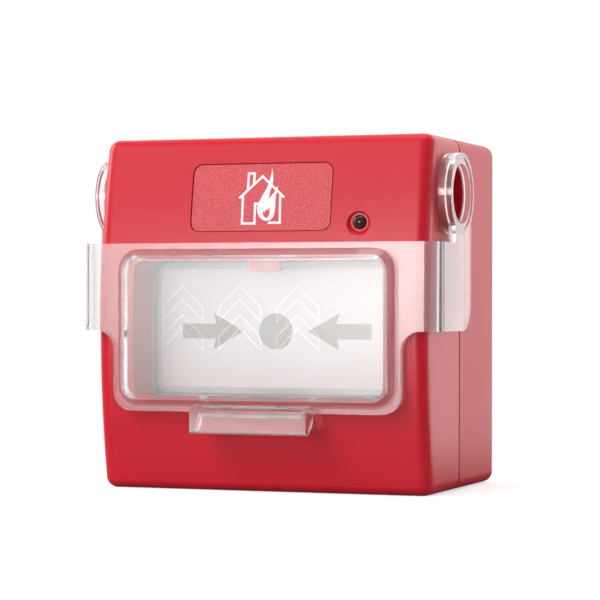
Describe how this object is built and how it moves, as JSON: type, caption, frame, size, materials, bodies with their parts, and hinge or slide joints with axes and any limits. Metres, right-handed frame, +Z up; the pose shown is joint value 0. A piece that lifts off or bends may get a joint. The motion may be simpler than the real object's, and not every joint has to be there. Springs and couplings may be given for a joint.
{
  "type": "fire alarm call point",
  "caption": "Surface-mounted resettable fire alarm call point: red bezel on a deep back box, white press plate in a window, and a clear hinged lift-up cover.",
  "frame": {"origin": "centre of the back box's rear face, on the axis of the rear cable entry", "axes": "+Y goes into the wall, +Z is up, +X is to the right seen from the front"},
  "size_m": [0.0968, 0.0667, 0.09],
  "materials": {
    "box_plastic": "moulded red plastic, fine satin",
    "bezel_plastic": "moulded red plastic, satin gloss",
    "label_plastic": "finely grained red plastic with a white printed pictogram",
    "smoked_lens": "dark smoked plastic",
    "led_epoxy": "red epoxy",
    "white_plastic": "white plastic with grey printed arrows",
    "grey_plastic": "moulded grey plastic",
    "flag_plastic": "yellow plastic with black diagonal stripes",
    "black_plastic": "black acetal",
    "chassis_plastic": "black moulded plastic",
    "board_laminate": "green glass-fibre laminate",
    "switch_plastic": "black thermoset",
    "spring_steel": "spring steel",
    "plunger_plastic": "red acetal",
    "tinned_brass": "tinned brass",
    "terminal_plastic": "green moulded plastic",
    "terminal_brass": "nickel-plated brass",
    "screw_steel": "zinc-plated steel",
    "resistor_body": "tan lacquer with plain bands",
    "clear_cover": "clear moulded polycarbonate"
  },
  "bodies": {
    "housing": {"back_box": "box_plastic", "bezel": "bezel_plastic", "pictogram_plate": "label_plastic", "light_pipe": "smoked_lens", "status_led": "led_epoxy", "chassis": "chassis_plastic", "circuit_board": "board_laminate", "microswitch_case": "switch_plastic", "switch_pins": "tinned_brass", "terminal_block": "terminal_plastic", "terminal_clamps": "terminal_brass", "terminal_screws": "screw_steel", "chassis_screws": "screw_steel", "board_screws": "screw_steel", "lock_screws": "screw_steel", "resistors": "resistor_body"},
    "cover": {"hinged_cover": "clear_cover"},
    "press": {"press_plate": "white_plastic", "plate_carrier": "grey_plastic"},
    "flag": {"indicator_flag": "flag_plastic"},
    "cam": {"reset_cam": "black_plastic"},
    "lever": {"switch_lever": "spring_steel"},
    "plunger": {"switch_plunger": "plunger_plastic"}
  },
  "joints": [
    {"name": "cover_hinge", "type": "hinge", "parent": "housing", "child": "cover", "pos_m": [0, -0.0415, 0.03035], "axis": [-1, 0, 0], "range_deg": [0, 165]},
    {"name": "plate_press", "type": "slide", "parent": "housing", "child": "press", "axis": [0, 1, 0], "range_m": [0, 0.003]},
    {"name": "flag_drop", "type": "slide", "parent": "housing", "child": "flag", "axis": [0, 0, -1], "range_m": [0, 0.0045]},
    {"name": "cam_turn", "type": "hinge", "parent": "housing", "child": "cam", "pos_m": [0, -0.0391, -0.0395], "axis": [0, 0, 1], "range_deg": [0, 47.84]},
    {"name": "lever_swing", "type": "hinge", "parent": "housing", "child": "lever", "pos_m": [0.008, -0.0366, 0], "axis": [0, 0, 1], "range_deg": [0, 14.49]},
    {"name": "plunger_press", "type": "slide", "parent": "housing", "child": "plunger", "axis": [0, 1, 0], "range_m": [0, 0.00085]}
  ],
  "couplings": [
    {"joint": "flag_drop", "follows": "plate_press", "ratio": 1.5},
    {"joint": "cam_turn", "follows": "plate_press", "rad_per_m": 278.28},
    {"joint": "lever_swing", "follows": "plate_press", "rad_per_m": 84.227},
    {"joint": "plunger_press", "follows": "plate_press", "ratio": 0.28332}
  ]
}
